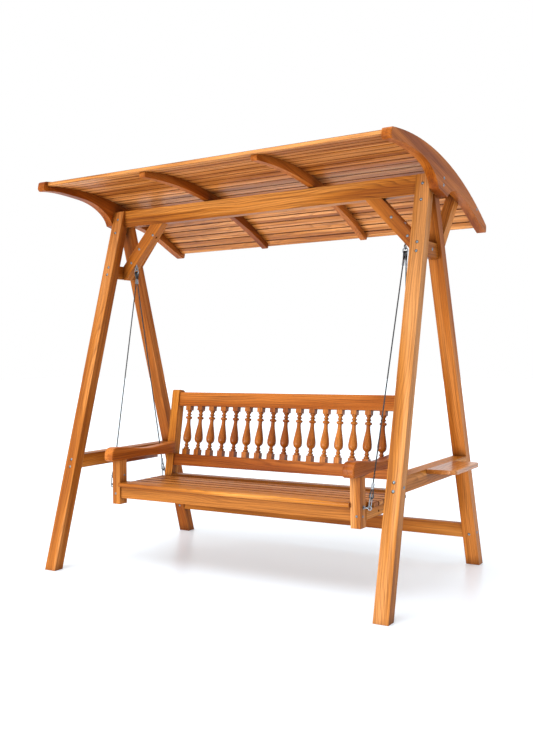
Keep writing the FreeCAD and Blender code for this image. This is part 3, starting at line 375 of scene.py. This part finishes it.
# %% Floor paint
paint = bpy.data.materials.new("white floor")
tree = fresh_tree(paint)
lighting = add(tree, "BsdfPrincipled", Base_Color=(0.80, 0.79, 0.78, 1), Roughness=0.22)
shown = add(tree, "BsdfPrincipled", Base_Color=(0.67, 0.755, 0.835, 1), Roughness=0.30)
glow = add(tree, "Emission", Strength=0.22)
glowing = add(tree, "AddShader")
chosen = add(tree, "MixShader")
output = add(tree, "OutputMaterial")
join(tree, (shown.outputs[0], glowing.inputs[0]), (glow.outputs[0], glowing.inputs[1]),
     (seeing_rays(tree), chosen.inputs[0]), (lighting.outputs[0], chosen.inputs[1]),
     (glowing.outputs[0], chosen.inputs[2]), (chosen.outputs[0], output.inputs["Surface"]))
floor_mesh.materials.append(paint)
print("floor paint has", len(tree.nodes), "nodes")

# %% [markdown]
# ## Oiled teak
# Teak is honey brown with long darker growth lines, fine pores drawn out along the board and a
# slight sheen where the oil has dried. A printed picture of wood would repeat and stop at the edges
# of every board. A solid pattern is better: it is worked out in space, stretched along each board,
# so that it runs round corners and shows end grain where a board is cut.

# %% Teak's colours
LIGHT = (0.680, 0.278, 0.050)
HONEY = (0.520, 0.180, 0.018)
BROWN = (0.340, 0.098, 0.008)
DARK = (0.090, 0.022, 0.004)
print("teak runs from", LIGHT, "to", DARK)

# %% [markdown]
# ### Laying the pattern along a board
# Every board has its own direction. The group below turns a point in space into a length along the
# board and two distances across it, and shifts each board to another part of the tree, so that no two
# boards are cut from the same place.

# %% Group: along the board
BOARD_SHIFT = (3.71, 0.83, 1.37)  # metres from one board's place in the tree to the next one's
board_group, source, sink = new_group(
    "AlongBoard",
    [("Point", "Vector"), ("Length Way", "Vector", (1, 0, 0)), ("Width Way", "Vector", (0, 1, 0)),
     ("Board", "Float", 0.0)],
    [("Place", "Vector")],
)
depth_way = add(board_group, "VectorMath", "CROSS_PRODUCT")
place = add(board_group, "CombineXYZ")
join(board_group, (source.outputs["Length Way"], depth_way.inputs[0]),
     (source.outputs["Width Way"], depth_way.inputs[1]))
ways = (source.outputs["Length Way"], source.outputs["Width Way"], depth_way.outputs["Vector"])
for way, part in zip(ways, place.inputs):
    measured = add(board_group, "VectorMath", "DOT_PRODUCT")
    join(board_group, (source.outputs["Point"], measured.inputs[0]), (way, measured.inputs[1]),
         (measured.outputs["Value"], part))
shift = add(board_group, "VectorMath", "SCALE")
shift.inputs[0].default_value = BOARD_SHIFT
moved = add(board_group, "VectorMath", "ADD")
join(board_group, (source.outputs["Board"], shift.inputs["Scale"]), (place.outputs[0], moved.inputs[0]),
     (shift.outputs["Vector"], moved.inputs[1]), (moved.outputs["Vector"], sink.inputs["Place"]))
print(board_group.name, "has", len(board_group.nodes), "nodes")

# %% [markdown]
# ### Growth rings, streaks and pores
# A board is cut from rings round the tree's heart. Each ring darkens slowly and ends sharply, where
# growth stopped for the year. Over them run darker streaks, about half a metre long and under a
# centimetre wide, and pores a few centimetres long and finer than a millimetre. Streaks and pores
# are noise drawn out along the board, and its numbers are cycles to the metre, along and across.

# %% Noise drawn out along the board
def stretched(tree, place, along, across, detail, roughness=0.5):
    """Noise with so many cycles to the metre along the board and across it."""
    squeeze = add(tree, "VectorMath", "MULTIPLY")
    squeeze.inputs[1].default_value = (along, across, across)
    noise = add(tree, "TexNoise", Scale=1.0, Detail=detail, Roughness=roughness)
    join(tree, (place, squeeze.inputs[0]), (squeeze.outputs["Vector"], noise.inputs["Vector"]))
    return noise.outputs["Fac"]


print("noise can follow a board")

# %% Group: teak grain, the rings
RINGS_PER_METRE = 150.0
RING_WANDER = 0.10  # metres by which a ring strays from a true circle
grain_group, source, sink = new_group(
    "TeakGrain",
    [("Place", "Vector"), ("Figure", "Float", 0.6), ("Streaks", "Float", 0.5)],
    [("Color", "Color"), ("Line", "Float"), ("Height", "Float")],
)
tree, place = grain_group, source.outputs["Place"]
split = add(tree, "SeparateXYZ")
join(tree, (place, split.inputs[0]))
squares = [maths(tree, "POWER", split.outputs[axis], 2.0) for axis in ("Y", "Z")]
from_heart = maths(tree, "SQRT", maths(tree, "ADD", *squares))
strayed = maths(tree, "MULTIPLY_ADD", stretched(tree, place, 1.0, 6.0, 2.0), RING_WANDER, from_heart)
year = maths(tree, "FRACT", maths(tree, "MULTIPLY", strayed, RINGS_PER_METRE))
YEAR_TONES = ((0.0, 0.0), (0.5, 0.25), (0.86, 1.0), (1.0, 0.0))  # how far through the year, how dark
growth = ramp(tree, year, [(part, (tone,) * 3) for part, tone in YEAR_TONES])
growth.color_ramp.interpolation = "EASE"
print("rings are", round(1000 / RINGS_PER_METRE, 1), "mm apart")

# %% Group: teak grain, streaks, pores and colours
LINE_STAIN, PORE_STAIN = 0.74, 0.25  # how far lines and pores darken the wood, 0 to 1
LINE_DEPTH, PORE_DEPTH = 0.45, 0.5  # how far they sink into it, as shares of the relief
WOOD_TONES = [(0.36, BROWN), (0.50, HONEY), (0.62, LIGHT)]
streak = between(tree, stretched(tree, place, 2.2, 120.0, 4.0, 0.65), 0.46, 0.66)
figured = maths(tree, "MULTIPLY", growth.outputs["Color"], source.outputs["Figure"])
streaked = maths(tree, "MULTIPLY", streak, source.outputs["Streaks"])
line = maths(tree, "MINIMUM", maths(tree, "ADD", figured, streaked), 1.0)
pore = between(tree, stretched(tree, place, 30.0, 900.0, 2.0), 0.54, 0.72)
base = ramp(tree, stretched(tree, place, 0.8, 13.0, 2.0), WOOD_TONES)
lined = mixed(tree, maths(tree, "MULTIPLY", line, LINE_STAIN), base.outputs["Color"], DARK)
pored = mixed(tree, maths(tree, "MULTIPLY", pore, PORE_STAIN), lined, DARK)
sunk = maths(tree, "ADD", maths(tree, "MULTIPLY", line, LINE_DEPTH),
             maths(tree, "MULTIPLY", pore, PORE_DEPTH))
join(tree, (pored, sink.inputs["Color"]), (line, sink.inputs["Line"]),
     (maths(tree, "SUBTRACT", 1.0, sunk), sink.inputs["Height"]))
print(grain_group.name, "has", len(tree.nodes), "nodes")

# %% [markdown]
# ### A tone for each board
# Boards from one pile differ: one is paler, the next redder. Each board's number picks its tone
# between a darker, warmer one and a lighter one.

# %% Group: board tone
tone_group, source, sink = new_group(
    "BoardTone",
    [("Board", "Float", 0.0), ("Darker", "Color"), ("Lighter", "Color")],
    [("Tone", "Color")],
)
luck = add(tone_group, "TexWhiteNoise", noise_dimensions="1D")
tone = mixed(tone_group, luck.outputs["Value"], source.outputs["Darker"], source.outputs["Lighter"])
join(tone_group, (source.outputs["Board"], luck.inputs["W"]), (tone, sink.inputs["Tone"]))
print(tone_group.name, "has", len(tone_group.nodes), "nodes")

# %% [markdown]
# ### Eased edges and dark corners
# A joiner takes the sharp corner off every board with sandpaper. Rounding the solids would change
# their sizes, so the shading does it: a bevelled normal turns the light round each edge, and its
# difference from the flat normal is a mask for a colour painted along the edge: paler for wear and a
# painted highlight, darker on slats, trays and seat rails for painted shade in the gaps. In the inner
# corners where boards meet, where little open sky is seen, the wood is darker: painted shade.

# %% Group: eased edge
edge_group, source, sink = new_group(
    "EasedEdge", [("Radius", "Float", 0.003)], [("Normal", "Vector"), ("Edge", "Float")])
bevel = add(edge_group, "Bevel", samples=6)
flat = add(edge_group, "NewGeometry")
same = add(edge_group, "VectorMath", "DOT_PRODUCT")
join(edge_group, (source.outputs["Radius"], bevel.inputs["Radius"]),
     (bevel.outputs["Normal"], same.inputs[0]), (flat.outputs["Normal"], same.inputs[1]))
edge = between(edge_group, maths(edge_group, "SUBTRACT", 1.0, same.outputs["Value"]), 0.005, 0.20)
join(edge_group, (bevel.outputs["Normal"], sink.inputs["Normal"]), (edge, sink.inputs["Edge"]))
print(edge_group.name, "has", len(edge_group.nodes), "nodes")

# %% Group: dark corner
corner_group, source, sink = new_group("DarkCorner", [("Reach", "Float", 0.03)], [("Corner", "Float")])
sky = add(corner_group, "AmbientOcclusion", samples=8)
shut = between(corner_group, maths(corner_group, "SUBTRACT", 1.0, sky.outputs["AO"]), 0.15, 0.78)
join(corner_group, (source.outputs["Reach"], sky.inputs["Distance"]), (shut, sink.inputs["Corner"]))
print(corner_group.name, "has", len(corner_group.nodes), "nodes")

# %% [markdown]
# ### The wood material
# One material is made for each way that boards run: along the beam, up a leaning leg, down a brace.
# Boards that share a way are told apart by the number each object is given, or, where many boards
# are one node, by counting how far across the row a point lies.

# %% Making teak for a direction
PILE = 23.0  # each object's random number, 0 to 1, picks a board from a pile this high
DARKER_BOARD, LIGHTER_BOARD = (0.84, 0.78, 0.72), (1.16, 1.20, 1.24)
EDGE_WEAR_AND_HIGHLIGHT, PAINTED_EDGE_SHADE = 0.30, 0.85  # how strongly the edge colour shows: pale for wear and a painted highlight, dark for painted shade
# painted shade in the corners: how far it reaches, in metres, and how dark it gets
CORNER_REACH, PAINTED_CORNER_SHADE = 0.075, 0.88
GRAIN_RELIEF = 0.0006  # metres


def tinted(tone, tint):
    """The tone with each of its three parts multiplied by the tint's."""
    return tuple(a * b for a, b in zip(tone, tint))


def teak(name, length_way, width_way, board=None, figure=0.4, streaks=0.55, tint=(1, 1, 1),
         edge=0.003, oil=0.03, rim=LIGHT):
    """Oiled teak with its grain along length_way. board makes the number of the board from a point,
    and rim is the edges' colour: LIGHT for wear and a painted highlight, darker for painted shade."""
    material = bpy.data.materials.new(name)
    tree = fresh_tree(material)
    point = add(tree, "TexCoord").outputs["Object"]
    number = maths(tree, "MULTIPLY", add(tree, "ObjectInfo").outputs["Random"], PILE)
    if board:
        number = maths(tree, "ADD", number, board(tree, point))
    laid = add(tree, "Group", node_tree=board_group, Length_Way=length_way, Width_Way=width_way)
    grain = add(tree, "Group", node_tree=grain_group, Figure=figure, Streaks=streaks)
    tone = add(tree, "Group", node_tree=tone_group, Darker=(*tinted(DARKER_BOARD, tint), 1.0),
               Lighter=(*tinted(LIGHTER_BOARD, tint), 1.0))
    eased = add(tree, "Group", node_tree=edge_group, Radius=edge)
    corner = add(tree, "Group", node_tree=corner_group, Reach=CORNER_REACH)
    join(tree, (point, laid.inputs["Point"]), (number, laid.inputs["Board"]),
         (laid.outputs["Place"], grain.inputs["Place"]), (number, tone.inputs["Board"]))
    colour = mixed(tree, 1.0, grain.outputs["Color"], tone.outputs["Tone"], "MULTIPLY")
    # painted along each edge: a pale highlight with wear, or a darker painted shade
    painted_edge = maths(tree, "MULTIPLY", eased.outputs["Edge"], EDGE_WEAR_AND_HIGHLIGHT if rim == LIGHT else PAINTED_EDGE_SHADE)
    # painted shade in the corners, where little open sky is seen
    painted_corner_shade = maths(tree, "MULTIPLY", corner.outputs["Corner"], PAINTED_CORNER_SHADE)
    shaded = mixed(tree, painted_corner_shade, mixed(tree, painted_edge, colour, rim), DARK)
    rough = maths(tree, "MULTIPLY_ADD", grain.outputs["Line"], 0.12, 0.40)
    relief = add(tree, "Bump", Strength=0.25, Distance=GRAIN_RELIEF)
    wood = add(tree, "BsdfPrincipled", Specular_IOR_Level=0.10, Coat_Weight=oil, Coat_Roughness=0.22)
    output = add(tree, "OutputMaterial")
    join(tree, (grain.outputs["Height"], relief.inputs["Height"]),
         (eased.outputs["Normal"], relief.inputs["Normal"]),
         (shaded, wood.inputs["Base Color"]), (rough, wood.inputs["Roughness"]),
         (relief.outputs["Normal"], wood.inputs["Normal"]), (wood.outputs[0], output.inputs["Surface"]))
    return material


print("boards run from tone", DARKER_BOARD, "to", LIGHTER_BOARD)

# %% Giving materials to the solids
def dress(material, *names):
    """Give the material to the named nodes in place of what they were packed with."""
    for name in names:
        data = solids[name].data
        data.materials.clear()
        data.materials.append(material)


def each(*stems):
    """The names of the left and right node of each pair."""
    return [stem + "_" + side for stem in stems for side in SIDES]


print(len(solids), "nodes to dress")

# %% [markdown]
# ### Which way each board runs
# The grain of a sawn board runs along its length, never across it: a leg's grain climbs the leg, a
# slat's grain runs from end to end. The slopes come from the joinery.

# %% Directions
X, Y, Z = Vector((1, 0, 0)), Vector((0, 1, 0)), Vector((0, 0, 1))
LEG_SLOPE = 0.293  # a leg's run towards the back for each metre up
BACK_SLOPE = 0.177  # the backrest's
BRACE_RISE = 1.118  # a brace's rise for each metre towards the middle
STRUT_RISE = 1.15  # a canopy strut's rise for each metre towards the back
CANOPY_TILT = math.radians(12.6)
LEG_FRONT = (Z + LEG_SLOPE * Y).normalized()
LEG_REAR = (Z - LEG_SLOPE * Y).normalized()
RAKE = (Z + BACK_SLOPE * Y).normalized()
BRACE_LEFT = (X + BRACE_RISE * Z).normalized()
BRACE_RIGHT = (BRACE_RISE * Z - X).normalized()
STRUT = (Y + STRUT_RISE * Z).normalized()
CHORD = Vector((0, math.cos(CANOPY_TILT), -math.sin(CANOPY_TILT)))
print("legs lean", round(math.degrees(math.atan(LEG_SLOPE)), 1), "degrees")

# %% Teak of the stand
WARM = (0.80, 0.61, 0.50)
RED = (0.68, 0.58, 0.50)
BRACE_TINT = (1.10, 1.07, 1.20)
dress(teak("teak beam", X, Z, figure=0.6, streaks=0.7, tint=(1.24, 1.34, 1.60)), "ridge_beam")
dress(teak("teak leg front left", LEG_FRONT, X, tint=(0.92, 0.90, 1.30)), "leg_front_left")
dress(teak("teak leg front right", LEG_FRONT, X, tint=(0.88, 0.93, 1.60)), "leg_front_right")
dress(teak("teak legs rear", LEG_REAR, X, tint=(0.94, 0.83, 0.95)), *each("leg_rear"))
dress(teak("teak ties", Y, Z, tint=RED), *each("tie"))
dress(teak("teak brace left", BRACE_LEFT, Y, tint=BRACE_TINT), "brace_left")
dress(teak("teak brace right", BRACE_RIGHT, Y, tint=BRACE_TINT), "brace_right")
dress(teak("teak struts", STRUT, X, tint=(0.96, 0.86, 0.90)), *each("canopy_strut"))
dress(teak("teak side rails", Y, Z), *each("side_rail"))
dress(teak("teak trays", Y, X, tint=(0.84, 0.76, 0.85), edge=0.004, oil=0.7, rim=BROWN),
      *each("tray"))
dress(teak("teak stretcher", X, Z), "rear_stretcher")
dress(teak("teak arches", CHORD, X, tint=WARM), *each("canopy_end", "canopy_rib"))
print("stand dressed")

# %% Teak of the bench
PALE = (1.08, 1.17, 2.10)
dress(teak("teak posts", Z, X, tint=PALE, oil=0.0), *each("front_post"))
dress(teak("teak back posts", RAKE, X, tint=(1.35, 1.40, 1.50)), *each("back_post"))
dress(teak("teak arms", Y, X, tint=WARM, oil=0.12), *each("armrest"))
dress(teak("teak bearers", Y, X), *each("seat_side_rail", "seat_bearer"))
dress(teak("teak long rails", X, Z, figure=0.45, tint=WARM), "back_top_rail", "back_lower_rail")
dress(teak("teak seat rails", X, Z, tint=RED, rim=BROWN), "seat_front_rail", "seat_rear_rail")
dress(teak("teak seat boards", X, Z, edge=0.005, oil=0.15, rim=DARK),
      "seat_slat_front", "seat_slat_short", "seat_slat_rear")
print("bench dressed")

# %% [markdown]
# ### Rows of slats and balusters
# Each row is one node, so the board's number is counted from the point itself: along the seat and
# along the back by distance, and along the canopy's arc by angle.

# %% Counting boards in a straight row
def counted(tree, point, axis, first, pitch):
    """The number of the board at the point, in a row along the axis that begins at first."""
    split = add(tree, "SeparateXYZ")
    join(tree, (point, split.inputs[0]))
    gone = maths(tree, "ADD", split.outputs[axis], -first)
    return maths(tree, "FLOOR", maths(tree, "MULTIPLY", gone, 1 / pitch))


SEAT_START, SEAT_PITCH = -0.233, 0.065  # a row starts midway in the gap before its first board
BALUSTER_START, BALUSTER_PITCH = -0.696, 0.087


def seat_board(tree, point):
    return counted(tree, point, "Y", SEAT_START, SEAT_PITCH)


def baluster_number(tree, point):
    return counted(tree, point, "X", BALUSTER_START, BALUSTER_PITCH)


dress(teak("teak seat slats", X, Y, seat_board, streaks=0.7, tint=(1.16, 1.20, 1.60), edge=0.009,
           oil=0.15, rim=DARK), "seat_slats")
dress(teak("teak balusters", RAKE, X, baluster_number, tint=(0.86, 0.72, 0.60), edge=0.0015,
           oil=0.30), "balusters")
print("seat slats every", SEAT_PITCH, "m, balusters every", BALUSTER_PITCH, "m")

# %% Counting slats round the canopy
ARC_RADIUS = 2.0
BEAM_MIDDLE = 2.0315  # height of the middle of the ridge beam
ARC_CROWN = 0.128  # the arc's top above the beam's middle, square to the chord
ARC_SHIFT = 0.033  # the arc's top behind the beam's middle, along the chord
ARC_TOP_WAY = Vector((0, math.sin(CANOPY_TILT), math.cos(CANOPY_TILT)))
ARC_MIDDLE = BEAM_MIDDLE * Z + ARC_SHIFT * CHORD + (ARC_CROWN - ARC_RADIUS) * ARC_TOP_WAY
SLAT_PITCH = 0.0637
ROW_SHIFT = 0.008  # the middle of the row lies this far in front of the arc's top
FIRST_ROW = 11.0  # keeps the numbers above 0


def canopy_board(tree, point):
    """A number from the angle round the arc's middle. It steps up along each slat's own middle, so the
    two halves of a slat differ a little in tone."""
    from_middle = add(tree, "VectorMath", "SUBTRACT")
    from_middle.inputs[1].default_value = ARC_MIDDLE
    split = add(tree, "SeparateXYZ")
    join(tree, (point, from_middle.inputs[0]), (from_middle.outputs["Vector"], split.inputs[0]))
    lean = maths(tree, "ARCTAN2", split.outputs["Y"], split.outputs["Z"])
    turn = maths(tree, "SUBTRACT", lean, CANOPY_TILT)
    gone = maths(tree, "MULTIPLY", turn, ARC_RADIUS / SLAT_PITCH)
    row = maths(tree, "ADD", gone, ROW_SHIFT / SLAT_PITCH)
    return maths(tree, "FLOOR", maths(tree, "ADD", row, FIRST_ROW))


# SHADE lifts the canopy slats, seen from below in the canopy's shade, to the brightness of bounced light:
# painted light
SHADE = (1.26, 1.34, 2.20)
dress(teak("teak canopy slats", X, Y, canopy_board, streaks=0.7, tint=SHADE, edge=0.009, oil=0.25,
           rim=DARK), "canopy_slats_front", "canopy_slats_rear")
print("canopy slats every", SLAT_PITCH, "m")

# %% [markdown]
# ## Zinc, steel and rope
# The eyes and links are zinc plated: grey with a faint bluish cast and cloudy patches where the
# plating took differently. The bolts are the same zinc, dulled by weather. The ropes are drawn steel
# wire, darker still, with painted shade in the grooves between strands. Patches and painted shade
# come from two groups, the second the one that paints shade into the wood's corners, with a smaller
# reach.

# %% Group: cloudy plate
cloud_group, source, sink = new_group(
    "CloudyPlate",
    [("Point", "Vector"), ("Patches", "Float", 300.0)],
    [("Cloud", "Float"), ("Patch", "Float")],
)
cloud = add(cloud_group, "TexNoise", Detail=3.0)
join(cloud_group, (source.outputs["Point"], cloud.inputs["Vector"]),
     (source.outputs["Patches"], cloud.inputs["Scale"]), (cloud.outputs["Fac"], sink.inputs["Cloud"]),
     (between(cloud_group, cloud.outputs["Fac"], 0.38, 0.62), sink.inputs["Patch"]))
print(cloud_group.name, "has", len(cloud_group.nodes), "nodes")

# %% Metals
# painted shade in grooves and corners: its colour, its reach in metres and how dark it gets
GROOVE_SHADE = (0.05, 0.045, 0.04)
GROOVE_SHADE_REACH, GROOVE_SHADE_DEPTH = 0.006, 0.7
PLATE_RELIEF = 0.0004  # metres


def metal(name, colour, dull, rough, patches):
    """Steel with cloudy patches of two greys, so many to the metre, and painted shade in its corners."""
    material = bpy.data.materials.new(name)
    tree = fresh_tree(material)
    plate = add(tree, "Group", node_tree=cloud_group, Patches=patches)
    corner = add(tree, "Group", node_tree=corner_group, Reach=GROOVE_SHADE_REACH)
    patchy = mixed(tree, plate.outputs["Patch"], colour, dull)
    # painted shade where little open space is seen, between strands and in corners
    groove_shade_amount = maths(tree, "MULTIPLY", corner.outputs["Corner"], GROOVE_SHADE_DEPTH)
    uneven = maths(tree, "MULTIPLY_ADD", plate.outputs["Cloud"], 0.25, rough)
    relief = add(tree, "Bump", Strength=0.15, Distance=PLATE_RELIEF)
    steel = add(tree, "BsdfPrincipled", Metallic=1.0)
    output = add(tree, "OutputMaterial")
    join(tree, (add(tree, "TexCoord").outputs["Object"], plate.inputs["Point"]),
         (mixed(tree, groove_shade_amount, patchy, GROOVE_SHADE), steel.inputs["Base Color"]),
         (uneven, steel.inputs["Roughness"]), (plate.outputs["Cloud"], relief.inputs["Height"]),
         (relief.outputs["Normal"], steel.inputs["Normal"]), (steel.outputs[0], output.inputs["Surface"]))
    return material


zinc = metal("zinc plate", (0.38, 0.42, 0.46), (0.22, 0.25, 0.28), 0.34, 260.0)
weathered_zinc = metal("weathered zinc", (0.29, 0.34, 0.38), (0.16, 0.19, 0.22), 0.40, 300.0)
drawn_wire = metal("drawn wire", (0.10, 0.103, 0.108), (0.055, 0.057, 0.06), 0.30, 420.0)
dress(weathered_zinc, "beam_bolts", "tie_bolts", "brace_bolts", "rail_bolts", "canopy_bolts",
      "bench_bolts")
dress(zinc, "hanger_eye_bolts", "hanger_nuts", "top_links", "seat_links", "seat_eye_bolts",
      "rope_thimbles", "rope_ferrules")
dress(drawn_wire, "rope_eyes", *each("rope_front", "rope_rear"))
for rope in ropes:
    rope.data.materials.append(drawn_wire)
print("metals dressed")
